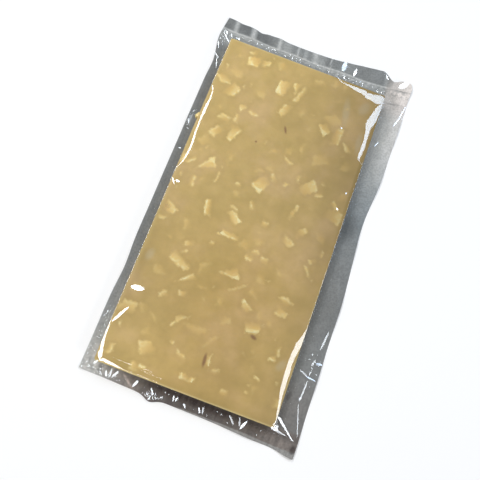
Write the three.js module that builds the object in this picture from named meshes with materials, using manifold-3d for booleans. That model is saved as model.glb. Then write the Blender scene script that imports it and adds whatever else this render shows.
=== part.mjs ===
// A thin slab of pale chocolate with chopped nuts, sealed in a clear flat pouch that lies on its back.
// Millimetres, +Z up, +X across the bar, +Y along it. The origin is on the table, under the middle of
// the pouch's box. The pouch is one solid: its outer form, down to the nuts that press up into the film.

import * as THREE from "three";
import { mergeVertices } from "three/addons/utils/BufferGeometryUtils.js";
import Module from "manifold-3d";

// Bar. All places below are measured from the middle of the bar, and moved to the origin at the end.
const BAR_WIDTH = 75.4;
const BAR_LENGTH = 160;
const BAR_THICKNESS = 7;

// Pouch: how far its four edges lie from the middle of the bar, and its thickness in the flange.
const LEFT_REACH = 43.4;
const RIGHT_REACH = 49.8;
const TOP_REACH = 93.6;
const BOTTOM_REACH = 86;
const FLANGE_THICKNESS = 0.7;

// The front film leaves the bar's top edge and comes down to the flange over this width on each side.
const LEFT_SHOULDER = 3.6;
const RIGHT_SHOULDER = 6;
const TOP_SHOULDER = 7;
const BOTTOM_SHOULDER = 4;
const SHOULDER_POWER = 1.7;

// Bulges and dips of each edge, outwards positive: where along the edge, how far, how wide.
const TOP_EDGE = [
  { at: -44, out: 0.8, width: 16 },
  { at: -6, out: -0.8, width: 18 },
  { at: 32, out: 3, width: 11 },
  { at: 40.5, out: -3.2, width: 3 },
  { at: 50, out: 2.2, width: 4 },
];
const RIGHT_EDGE = [
  { at: 92, out: 0.9, width: 5 },
  { at: 15, out: -2.1, width: 20 },
  { at: -80, out: 0.3, width: 20 },
];
const BOTTOM_EDGE = [
  { at: -44, out: -1.3, width: 30 },
  { at: -12, out: 1.6, width: 3 },
  { at: 50, out: 2.4, width: 7 },
];
const LEFT_EDGE = [
  { at: 84, out: 1.5, width: 8 },
  { at: 69, out: -0.5, width: 6 },
  { at: -38, out: -0.7, width: 9 },
];

// The flange lies in shallow waves, and its far right corner curls up off the table.
const WAVE_HEIGHT = 1.1;
const WAVE_LENGTH_X = 23;
const WAVE_LENGTH_Y = 31;
const WAVE_SHIFT = 0.6;
const WAVE_GROWTH = 6;
const EAR = new THREE.Vector2(49, 95);
const EAR_LIFT = 3;
const EAR_RADIUS = 10;

// Seals: a raised band across the top and a thin strip across the bottom.
const TOP_SEAL_FROM_BAR = 8.3;
const TOP_SEAL_SLANT = 0.03;
const TOP_SEAL_WIDTH = 1.6;
const BOTTOM_SEAL_FROM_BAR = 4.6;
const SEAL_HEIGHT = 0.35;

// Folds that run from the bar's corners to the pouch's, and the long crease beside its lower right side.
const CORNER_FOLD_HEIGHT = 1.3;
const CORNER_FOLD_WIDTH = 1.6;
const CORNER_FOLD_REACH = 14;
const CORNER_FOLD_RUN_IN = 2;
const CORNER_FOLD_SLOPE = 0.7;
const CREASE_HEIGHT = 0.9;
const CREASE_WIDTH = 1.1;
const CREASE_FROM_EDGE = 3.4;
const CREASE_TOP = -30;
const CREASE_FADE = 10;

// Grid steps along the pouch, over each shoulder and across each flange.
const STEP = 3;
const SHOULDER_STEPS = [0, 0.12, 0.35, 0.66, 1];
const FLANGE_STEP = 1.9;
const SAME_PLACE = 0.001;

// Nuts: chips of low relief under the film, the plainest ones by hand and the rest scattered.
const NUT_RELIEF = 0.35;
const NUT_ROOT = 0.8;
const NUT_TOP_SHARE = 0.8;
const NUT_SIDES = 6;
const NUT_UNEVENNESS = 0.3;
const NUT_MARGIN = 2.5;
const NUT_GAP = 1.2;
const SCATTERED_NUTS = 46;
const SCATTER_TRIES = 900;
const SHORTEST_NUT = 3.6;
const LONGEST_NUT = 7.6;
const SLIMMEST_NUT = 0.42;
const STOUTEST_NUT = 0.85;
const FIRST_SEED = 20261;

// Each: place across and along the bar, length, width and turn in degrees.
const PLAIN_NUTS = [
  [-24, 73, 6, 4, 100],
  [-28, 54, 8, 4, 50],
  [-7, 65, 8, 6, 80],
  [-2, 70, 7, 3, 95],
  [1, 64, 8, 4, 70],
  [-2, 54, 7, 4, 55],
  [-18, 48, 9, 4, -15],
  [-27, 40, 6, 4, -5],
  [-21, 35, 9, 4, 73],
  [19, 57, 8, 4, -16],
  [23, 51, 8, 4, 70],
  [-26, 16, 7, 4, 54],
  [19, 38, 8, 5, 33],
  [0, 16, 9, 4, 58],
  [19, 23, 8, 6, 32],
  [-19, -2, 8, 3, 100],
  [16, 9, 7, 4, 76],
  [32, 13, 8, 6, 27],
  [-7, -10, 7, 4, -4],
  [-22, -29, 10, 5, -29],
  [-15, -35, 9, 3, 42],
  [6, -16, 8, 4, 52],
  [1, -26, 8, 5, 16],
  [5, -32, 8, 3, 41],
  [12, -38, 8, 3, -35],
  [26, -29, 6, 3, -20],
  [-12, -53, 8, 3, 66],
  [18, -45, 7, 5, 31],
  [-5, -54, 8, 6, 5],
  [3, -63, 7, 4, 80],
  [-21, -69, 7, 5, 50],
  [-21, -77, 7, 4, 10],
  [-2, -74, 6, 4, 0],
  [29, -53, 8, 3, 79],
];

const LEFT = -BAR_WIDTH / 2;
const RIGHT = BAR_WIDTH / 2;
const TOP = BAR_LENGTH / 2;
const BOTTOM = -BAR_LENGTH / 2;

const clamp = (value) => Math.min(Math.max(value, 0), 1);
const smooth = (value) => clamp(value) ** 2 * (3 - 2 * clamp(value));
const hump = (distance, width) => Math.exp(-((distance / width) ** 2));
const beyondAcross = (x) => Math.max(x - RIGHT, LEFT - x, 0);
const beyondAlong = (y) => Math.max(y - TOP, BOTTOM - y, 0);

// How far the bulges and dips of one edge push it out at a place along it.
function bulge(bumps, place) {
  return bumps.reduce((sum, bump) => sum + bump.out * hump(place - bump.at, bump.width), 0);
}

// A place on the plain rectangle, moved so that the pouch's edges get their bulges.
function bent(x, y) {
  const toRight = smooth((x - RIGHT) / (RIGHT_REACH - RIGHT));
  const toLeft = smooth((LEFT - x) / (LEFT_REACH + LEFT));
  const toTop = smooth((y - TOP) / (TOP_REACH - TOP));
  const toBottom = smooth((BOTTOM - y) / (BOTTOM_REACH + BOTTOM));
  const bentX = x + toRight * bulge(RIGHT_EDGE, y) - toLeft * bulge(LEFT_EDGE, y);
  const bentY = y + toTop * bulge(TOP_EDGE, x) - toBottom * bulge(BOTTOM_EDGE, x);
  return new THREE.Vector2(bentX, bentY);
}

// How far down its shoulder a place lies: 0 on the bar, 1 at the flange and beyond.
function downShoulder(x, y) {
  const across = Math.max((x - RIGHT) / RIGHT_SHOULDER, (LEFT - x) / LEFT_SHOULDER, 0);
  const along = Math.max((y - TOP) / TOP_SHOULDER, (BOTTOM - y) / BOTTOM_SHOULDER, 0);
  return Math.min(Math.hypot(across, along), 1);
}

function outsideBar(x, y) {
  return Math.hypot(beyondAcross(x), beyondAlong(y));
}

// How far the flange's underside stands off the table.
function lift(x, y) {
  const growth = smooth((outsideBar(x, y) - LEFT_SHOULDER) / WAVE_GROWTH);
  const waveAcross = Math.sin((2 * Math.PI * x) / WAVE_LENGTH_X + WAVE_SHIFT);
  const waveAlong = Math.sin((2 * Math.PI * y) / WAVE_LENGTH_Y);
  const ear = EAR_LIFT * hump(EAR.distanceTo(new THREE.Vector2(x, y)), EAR_RADIUS);
  return growth * (WAVE_HEIGHT * (0.5 + 0.5 * waveAcross * waveAlong) + ear);
}

// The ridge of the fold that runs out from each corner of the bar, and fades towards the pouch's corner.
function cornerFolds(x, y) {
  const across = beyondAcross(x);
  const along = beyondAlong(y);
  const fromRidge = Math.abs(across - CORNER_FOLD_SLOPE * along) / Math.hypot(1, CORNER_FOLD_SLOPE);
  const start = smooth(Math.min(across, along) / CORNER_FOLD_RUN_IN);
  const fade = hump(Math.hypot(across, along), CORNER_FOLD_REACH);
  return CORNER_FOLD_HEIGHT * start * fade * hump(fromRidge, CORNER_FOLD_WIDTH);
}

function creaseRidge(x, y) {
  const line = RIGHT_REACH - CREASE_FROM_EDGE;
  const fade = smooth((CREASE_TOP - y) / CREASE_FADE) * smooth((y - BOTTOM) / CREASE_FADE);
  return CREASE_HEIGHT * fade * hump(x - line, CREASE_WIDTH);
}

function sealRidges(x, y) {
  const topSealLine = TOP + TOP_SEAL_FROM_BAR + (x - LEFT) * TOP_SEAL_SLANT;
  const topSeal = hump(y - topSealLine, TOP_SEAL_WIDTH);
  const bottomStrip = smooth(BOTTOM - y - BOTTOM_SEAL_FROM_BAR);
  return SEAL_HEIGHT * Math.max(topSeal, bottomStrip);
}

// Height of the front film: flat on the bar, hollow down its shoulders, then the flange with its relief.
function filmTop(x, y) {
  const down = downShoulder(x, y);
  const flange = lift(x, y) + FLANGE_THICKNESS;
  const relief = smooth(down) * (cornerFolds(x, y) + creaseRidge(x, y) + sealRidges(x, y));
  return flange + relief + (BAR_THICKNESS - flange) * (1 - down) ** SHOULDER_POWER;
}

// Grid lines from one edge of the pouch to the other: flange, shoulder, bar, shoulder, flange.
function gridLines(lowEdge, lowShoulder, low, high, highShoulder, highEdge) {
  const shares = (from, to, step) => {
    const count = Math.max(Math.round(Math.abs(to - from) / step), 1);
    return Array.from({ length: count }, (_, i) => from + ((to - from) * i) / count);
  };
  const lowFoot = low - lowShoulder;
  const highFoot = high + highShoulder;
  return [
    ...shares(lowEdge, lowFoot, FLANGE_STEP),
    ...SHOULDER_STEPS.slice(1).reverse().map((share) => low - share * lowShoulder),
    ...shares(low, high, STEP),
    ...SHOULDER_STEPS.slice(0, -1).map((share) => high + share * highShoulder),
    ...shares(highFoot, highEdge, FLANGE_STEP),
    highEdge,
  ];
}

// The two triangles of a four-cornered cell.
function cell(a, b, c, d, facesUp) {
  return facesUp ? [a, b, c, a, c, d] : [a, c, b, a, d, c];
}

// The filled pouch without its nuts: a ring of cells on both faces, closed by fans over and under the bar.
function pouchGeometry() {
  const across = gridLines(-LEFT_REACH, LEFT_SHOULDER, LEFT, RIGHT, RIGHT_SHOULDER, RIGHT_REACH);
  const along = gridLines(-BOTTOM_REACH, BOTTOM_SHOULDER, BOTTOM, TOP, TOP_SHOULDER, TOP_REACH);
  const onBar = (lines, low, high, i) => lines[i] > low - SAME_PLACE && lines[i + 1] < high + SAME_PLACE;
  const vertices = [];
  const triangles = [];
  const layer = across.length * along.length;
  const at = (i, j, top) => i * along.length + j + (top ? layer : 0);
  for (const top of [false, true]) {
    for (const x of across) {
      for (const y of along) {
        const place = bent(x, y);
        vertices.push(place.x, place.y, top ? filmTop(place.x, place.y) : lift(place.x, place.y));
      }
    }
  }
  for (let i = 0; i + 1 < across.length; i += 1) {
    for (let j = 0; j + 1 < along.length; j += 1) {
      if (!onBar(across, LEFT, RIGHT, i) || !onBar(along, BOTTOM, TOP, j)) {
        const corners = [[i, j], [i + 1, j], [i + 1, j + 1], [i, j + 1]];
        triangles.push(...cell(...corners.map((corner) => at(...corner, true)), true));
        triangles.push(...cell(...corners.map((corner) => at(...corner, false)), false));
      }
    }
  }
  for (const [from, to] of rimOf([0, across.length - 1], [0, along.length - 1])) {
    triangles.push(...cell(at(...from), at(...to), at(...to, true), at(...from, true), true));
  }
  const lineAt = (lines, place) => lines.findIndex((line) => Math.abs(line - place) < SAME_PLACE);
  const barColumns = [lineAt(across, LEFT), lineAt(across, RIGHT)];
  const barRows = [lineAt(along, BOTTOM), lineAt(along, TOP)];
  const middleBelow = vertices.length / 3;
  vertices.push(0, 0, 0, 0, 0, BAR_THICKNESS);
  for (const [from, to] of rimOf(barColumns, barRows)) {
    triangles.push(at(...from), middleBelow, at(...to));
    triangles.push(at(...from, true), at(...to, true), middleBelow + 1);
  }
  const geometry = new THREE.BufferGeometry();
  geometry.setAttribute("position", new THREE.Float32BufferAttribute(vertices, 3));
  geometry.setIndex(triangles);
  return geometry;
}

// The steps round a block of the grid, anticlockwise from above.
function rimOf([firstColumn, lastColumn], [firstRow, lastRow]) {
  const corners = [];
  for (let i = firstColumn; i < lastColumn; i += 1) {
    corners.push([i, firstRow]);
  }
  for (let j = firstRow; j < lastRow; j += 1) {
    corners.push([lastColumn, j]);
  }
  for (let i = lastColumn; i > firstColumn; i -= 1) {
    corners.push([i, lastRow]);
  }
  for (let j = lastRow; j > firstRow; j -= 1) {
    corners.push([firstColumn, j]);
  }
  return corners.map((corner, k) => [corner, corners[(k + 1) % corners.length]]);
}

// Even draws from 0 to 1 that come out the same each time.
function seededDraws(seed) {
  let state = seed;
  return () => {
    state = (state * 16807) % 2147483647;
    return state / 2147483647;
  };
}

// All nuts: the plain ones, then scattered ones that keep clear of each other and of the bar's edges.
function placeNuts() {
  const draw = seededDraws(FIRST_SEED);
  const nuts = PLAIN_NUTS.map(([x, y, length, width, turn]) => ({ x, y, length, width, turn }));
  const wanted = nuts.length + SCATTERED_NUTS;
  for (let i = 0; i < SCATTER_TRIES && nuts.length < wanted; i += 1) {
    const x = (draw() - 0.5) * BAR_WIDTH;
    const y = (draw() - 0.5) * BAR_LENGTH;
    const length = SHORTEST_NUT + (LONGEST_NUT - SHORTEST_NUT) * draw() ** 2;
    const width = length * (SLIMMEST_NUT + (STOUTEST_NUT - SLIMMEST_NUT) * draw());
    const turn = 180 * draw();
    const margin = length / 2 + NUT_MARGIN;
    const inside = Math.abs(x) < RIGHT - margin && Math.abs(y) < TOP - margin;
    const near = (nut) => Math.hypot(nut.x - x, nut.y - y) < (nut.length + length) / 2 + NUT_GAP;
    if (inside && !nuts.some(near)) {
      nuts.push({ x, y, length, width, turn });
    }
  }
  return nuts;
}

// A chip of nut: an uneven six-sided outline, rooted in the bar, that narrows to its flat top.
function nutGeometry(nut, draw) {
  const outline = [];
  for (let i = 0; i < NUT_SIDES; i += 1) {
    const angle = ((i + 0.5 * draw()) / NUT_SIDES) * 2 * Math.PI;
    const reach = 0.5 * (1 + NUT_UNEVENNESS * (draw() - 0.5));
    outline.push([nut.length * reach * Math.cos(angle), nut.width * reach * Math.sin(angle)]);
  }
  const root = outline.flatMap(([x, y]) => [x, y, BAR_THICKNESS - NUT_ROOT]);
  const top = outline.flatMap(([x, y]) => [x * NUT_TOP_SHARE, y * NUT_TOP_SHARE, BAR_THICKNESS + NUT_RELIEF]);
  const vertices = [...root, ...top];
  const triangles = [];
  for (let i = 0; i < NUT_SIDES; i += 1) {
    const next = (i + 1) % NUT_SIDES;
    triangles.push(...cell(i, next, next + NUT_SIDES, i + NUT_SIDES, true));
    if (i > 0 && next > 0) {
      triangles.push(0, next, i);
      triangles.push(NUT_SIDES, NUT_SIDES + i, NUT_SIDES + next);
    }
  }
  const geometry = new THREE.BufferGeometry();
  geometry.setAttribute("position", new THREE.Float32BufferAttribute(vertices, 3));
  geometry.setIndex(triangles);
  geometry.rotateZ(THREE.MathUtils.degToRad(nut.turn));
  geometry.translate(nut.x, nut.y, 0);
  return geometry;
}

const wasm = await Module();
wasm.setup();

function solidOf(geometry) {
  const merged = mergeVertices(geometry, 1e-4);
  const vertProperties = Float32Array.from(merged.attributes.position.array);
  const triVerts = Uint32Array.from(merged.index.array);
  return new wasm.Manifold(new wasm.Mesh({ numProp: 3, vertProperties, triVerts }));
}

function geometryOf(solid) {
  const mesh = solid.getMesh();
  const geometry = new THREE.BufferGeometry();
  geometry.setAttribute("position", new THREE.Float32BufferAttribute(mesh.vertProperties, 3));
  geometry.setIndex(Array.from(mesh.triVerts));
  return geometry.toNonIndexed();
}

function sealedPouch() {
  const draw = seededDraws(FIRST_SEED + 1);
  const filled = placeNuts().reduce(
    (solid, nut) => solid.add(solidOf(nutGeometry(nut, draw))),
    solidOf(pouchGeometry()),
  );
  const geometry = geometryOf(filled);
  geometry.computeBoundingBox();
  const middle = geometry.boundingBox.getCenter(new THREE.Vector3());
  geometry.translate(-middle.x, -middle.y, 0);
  geometry.computeVertexNormals();
  return geometry;
}

const film = new THREE.MeshStandardMaterial({ color: 0xbba56c, roughness: 0.25, metalness: 0 });

const pouch = new THREE.Mesh(sealedPouch(), film);
pouch.name = "sealed_pouch";

const object = new THREE.Group();
object.name = "chocolate_bar_in_pouch";
object.add(pouch);

export default object;
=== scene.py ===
"""The looks of a slab of pale chocolate with nuts in its sealed pouch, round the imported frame.

Lengths are in millimetres and places are measured from the middle of the bar, as in the part's source,
until a mesh is made. Blender's own units are metres.
"""

import math

import bpy
import numpy as np
from mathutils import Matrix, Vector


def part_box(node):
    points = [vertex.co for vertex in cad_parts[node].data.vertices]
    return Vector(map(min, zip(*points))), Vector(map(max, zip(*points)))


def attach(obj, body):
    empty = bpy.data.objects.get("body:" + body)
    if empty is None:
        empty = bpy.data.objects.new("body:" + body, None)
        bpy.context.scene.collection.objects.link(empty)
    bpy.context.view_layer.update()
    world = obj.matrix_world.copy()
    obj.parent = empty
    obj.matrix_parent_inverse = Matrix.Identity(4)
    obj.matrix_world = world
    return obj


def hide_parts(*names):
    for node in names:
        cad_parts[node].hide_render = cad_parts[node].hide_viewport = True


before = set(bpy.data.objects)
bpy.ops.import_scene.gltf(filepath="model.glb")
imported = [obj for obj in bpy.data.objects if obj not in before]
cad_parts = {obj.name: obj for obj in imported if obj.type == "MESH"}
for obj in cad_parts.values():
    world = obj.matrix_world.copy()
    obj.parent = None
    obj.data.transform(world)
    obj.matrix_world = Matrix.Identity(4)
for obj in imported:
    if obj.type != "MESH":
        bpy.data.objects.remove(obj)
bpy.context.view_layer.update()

MM = 0.001
NODE = "sealed_pouch"

# Bar
BAR_WIDTH = 76.7
BAR_LENGTH = 161
BAR_THICKNESS = 7
RIGHT = BAR_WIDTH / 2
LEFT = -RIGHT
TOP = BAR_LENGTH / 2
BOTTOM = -TOP
BAR_CORNER = 1.0
BAR_ROUND = 0.4
BAR_TAPER = 1.2
BAR_BASE = 0.35
BASE_BEVEL = 0.3
BAR_STEP = 0.37
SURFACE = BAR_THICKNESS - 0.05
SHADE_COLOUR = (190, 188, 183)
NUT_SHADE_SHARE = 0.08
SKIN_SHARE = 0.75
PALE_SMEAR_SHARE = 0.35
GRAIN_CELLS = 128

# Pouch: how far its edges lie from the middle of the bar, and the widths over which the film comes down
LEFT_REACH = 43.4
RIGHT_REACH = 49.8
TOP_REACH = 93.6
BOTTOM_REACH = 86
LEFT_SHOULDER = 3.6
RIGHT_SHOULDER = 6
TOP_SHOULDER = 7
BOTTOM_SHOULDER = 4
# The film comes down the shoulder in flat panes with folds between: how far out, and how high
FIRST_FOLD = 0.28
LAST_FOLD = 0.65
SHOULDER_PROFILE = [(0, 1), (FIRST_FOLD, 0.4), (LAST_FOLD, 0), (1, 0)]
FOLD_HALF = 0.03
FLANGE_STEP = 0.25
FILM_OVER_BACKING = 0.35
BACKING_HEIGHT = 0.1
# The front film's grid over the bar: where each stretch ends, and its step
ACROSS = [(LEFT + 1.2, 0.1), (LEFT + 8, 0.25), (RIGHT - 12, 0.85), (RIGHT - 1.2, 0.25), (RIGHT - 0.1, 0.1)]
ALONG = [(BOTTOM + 1.2, 0.12), (BOTTOM + 5, 0.3), (TOP - 14, 0.8), (TOP - 1.2, 0.3), (TOP - 0.1, 0.12)]
# What the film mirrors: its strength, its tint, the less of it on the shoulders and in the top band, and how
# far inside the bar's edge it comes in
FILM_IOR = 2.15
FILM_ROUGHNESS = 0.05
GLOSS_TINT = (0.88, 0.94, 1.0, 1.0)
SHOULDER_GLOSS = 0.05
BAND_GLOSS = 0.15
EDGE_FADE = 0.4

# Bulges and dips of each edge: where along it, how far out, how wide
TOP_EDGE = [
    (-44, 0.8, 16), (-36.5, -0.4, 2.5), (-26.5, -0.9, 2.5), (-17, 0.5, 2.5), (-6, -0.8, 18), (17, 0.5, 5),
    (28, -0.4, 3), (32, 3, 11), (35, 0.7, 1.8), (40.5, -2.3, 3), (47.8, 0.7, 3.2),
]
RIGHT_EDGE = [(95, -1.7, 2.0), (15, -2.1, 20), (-80, 0.3, 20)]
BOTTOM_EDGE = [(-44, -1.3, 30), (-12, 1.8, 3.2), (34, 1.1, 15), (50, 2.4, 7)]
LEFT_EDGE = [(84, 1.5, 8), (69, -0.5, 6), (-38, -0.7, 9)]

# Waves of the flange, its raised corner, and its seals
WAVE_HEIGHT = 1.1
WAVE_LENGTH_X = 23
WAVE_LENGTH_Y = 31
WAVE_SHIFT = 0.6
WAVE_GROWTH = 6
EAR = (49, 95)
EAR_LIFT = 1.6
EAR_RADIUS = 10
TOP_SEAL = 88
TOP_SEAL_WIDTH = 0.5
TOP_SEAL_GAP = 1.1
BOTTOM_SEAL = -85.2
SEAL_HEIGHT = 0.06

# The front film stands off the bar by its slack, and rolls down to the bar's edges. It mirrors a lamp where
# the roll has the slope for it, as a streak: where along the edge, how far inside it, and how wide.
SLACK = 1.4
FILM_GAP = 0.12
HAIRLINE = (0.3, 0.03)
LEFT_STREAK = [
    (-80, 2.7, 1.8), (-77, 1.8, 1.4), (-73, 0.9, 1.1), (-69, 0.5, 0.8), (-66, 0.45, 0.5),
    (-63, *HAIRLINE), (9, *HAIRLINE), (12, 1.7, 0.3), (15, 2.3, 0.6), (20, 2.7, 1.0), (30, 2.0, 0.6),
    (35, 1.7, 0.6), (39, 1.9, 1.3), (46, 2.1, 0.8), (51, 1.9, 0.3), (53, *HAIRLINE),
]
RIGHT_STREAK = [
    (-78.5, *HAIRLINE), (-75, 0.5, 0.8), (-70, 1.35, 1.0), (-65, 1.9, 1.8), (-60, 2.3, 2.1),
    (-55, 2.3, 1.8), (-50, 2.1, 2.3), (-47.7, 1.7, 2.0), (-46.3, 1.7, 2.7), (-44, 1.2, 2.1),
    (-41, 0.6, 1.0), (-37, *HAIRLINE), (42.5, *HAIRLINE), (44, 2.9, 1.0), (46, 2.8, 1.5), (50, 2.6, 1.5),
    (55, 2.55, 1.6), (60, 3.0, 2.7), (62, 3.2, 3.4), (65, 2.9, 3.6), (67, 2.4, 3.4), (70, 1.75, 2.7),
    (75, 1.5, 2.6),
]
TOP_STREAK = [
    (14, *HAIRLINE), (17, 2.5, 0.5), (22, 2.8, 1.2), (25, 3.2, 2.1), (29, 3.5, 3.0), (30.8, 4.3, 4.6),
    (34, 4.6, 5.4),
]
BOTTOM_STREAK = [(-35, 1.0, 1.3), (-30, 0.8, 0.9), (-26, *HAIRLINE)]

# Creases that mirror a lamp, over the bar, then in the flange from its left round to its bottom: place of
# the middle, length, width and turn in degrees
CREASES = [
    (-33.1, -47.3, 5.6, 2.3, 8), (-35.4, -60, 9, 1.2, 64), (-27, -77.4, 9, 0.06, -2),
    (-14, -78.2, 12, 0.06, -2), (-17, -77.1, 6, 0.05, -2), (-36.7, -78.3, 3.4, 1.2, -65),
    (-37, 2.6, 3.4, 0.7, -52), (-35, 3, 2, 1.1, 10), (-34.9, -9.4, 2.4, 1.9, 20),
    (23.8, 55.5, 0.9, 0.8, 0), (35.3, 25.9, 0.8, 0.8, 0), (33.8, 17.3, 1.5, 0.7, -50),
    (-42.1, 86.4, 2.4, 0.7, 122), (-39.3, 85.2, 2.6, 0.5, -63), (-35.5, 84.6, 1.8, 0.7, -35),
    (-43.6, 78.8, 4, 0.5, -68), (-42.3, 73, 3.4, 0.4, -45), (-40.9, 68.5, 6, 0.4, -72),
    (-41.9, 34.8, 2.8, 0.4, -72), (-41, 21.4, 1.3, 0.6, 15),
    (15.9, 91.4, 6.2, 2.1, 88), (21.7, 90.3, 4.6, 1.4, 86), (17.6, 85.8, 1.8, 0.7, -60),
    (-8.6, 85.4, 1.6, 0.4, -75), (29.3, 89, 1.2, 0.8, 0), (36.9, 94, 3.4, 0.6, -55),
    (45.4, 92.2, 6, 2.6, 48),
    (48.9, 79, 7.5, 0.5, 80), (47.7, 73, 6, 0.6, 72), (41.9, 58, 3, 0.4, 65), (43.1, 53, 0.7, 0.6, 0),
    (47.6, -38, 9, 0.8, 83), (46, -48.6, 3.4, 0.6, 70), (48.3, -48.4, 2.6, 1.1, 10),
    (44.6, -51.8, 4.6, 0.6, 12), (43.4, -54.2, 4.2, 0.6, -24), (46.8, -55.4, 4.2, 0.6, -8),
    (46, -53, 2.4, 0.5, 85), (45.7, -61, 9, 0.7, 87), (45.3, -64.6, 1.6, 1, 80),
    (47.3, -73.5, 14, 0.5, -74),
    (-37, -81.2, 2, 0.6, 60), (-32, -83.3, 2.6, 0.8, 112), (-30, -82.8, 3.8, 0.7, 97),
    (-28.2, -82.7, 3.6, 0.8, 62), (-19.5, -83.1, 3.4, 1.1, 65), (-12.3, -83.2, 2.4, 0.6, -55),
    (-3.2, -83, 2.2, 0.7, 105), (-1.9, -82.9, 2, 0.8, 80), (2, -84, 2.2, 0.6, -50),
    (8.2, -83.6, 2.6, 0.7, -60), (9.6, -83.3, 2.8, 0.8, 100), (21.5, -83, 4.2, 0.8, -48),
    (24.7, -82.8, 3.6, 0.7, -72), (26.7, -83.3, 4.2, 1.1, 65),
]
# Folds at the bar's corners that hang free: from, to, and the width at either end
CORNER_FOLDS = [
    ((38.5, -75.6, 7.3), (48.2, -82.2, 1.2), 1.2, 0.3),
    ((38.4, -76.6, 7.6), (38.6, -81.3, 7.0), 0.7, 3.3),
    ((38.9, -80.9, 6.9), (44, -81.5, 6.3), 1.2, 0.3),
    ((-43.4, 85.4, 1.7), (-39.3, 80.8, 2.2), 0.5, 0.6),
]
# Stretches strewn with fine crinkles: from and to across, from and to along, how many, and the longest
CRINKLED = [
    (-44.2, -39.8, -84.5, -56, 60, 0.7), (-40, -26, -84.8, -82, 30, 0.9),
    (-16.5, -7.5, -87.4, -83.6, 70, 1.7), (-26, 40, -84.6, -81.6, 14, 0.9), (-38, 38, 85, 87.2, 60, 1),
    (-44.5, -40, 79, 87, 14, 0.9), (44, 49, -60, -44, 14, 0.9),
]
CREASE_STEP = 0.4
FEWEST_PLACES = 5
FOLD_PLACES = 14
CREASE_GAP = 0.03
CREASE_FOOT = 0.06
STEEPEST_CREASE = 0.08
# Slopes tried for a crease, the range of them that is averaged, and the one for a crease that shows no lamp
SLOPES = np.linspace(-0.9, 0.9, 361)
SLOPE_RANGE = 0.06
PLAIN_SLOPE = 0.3
GRAZING = 0.05
COOL_CREASE_GLOSS = 1.8
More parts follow.
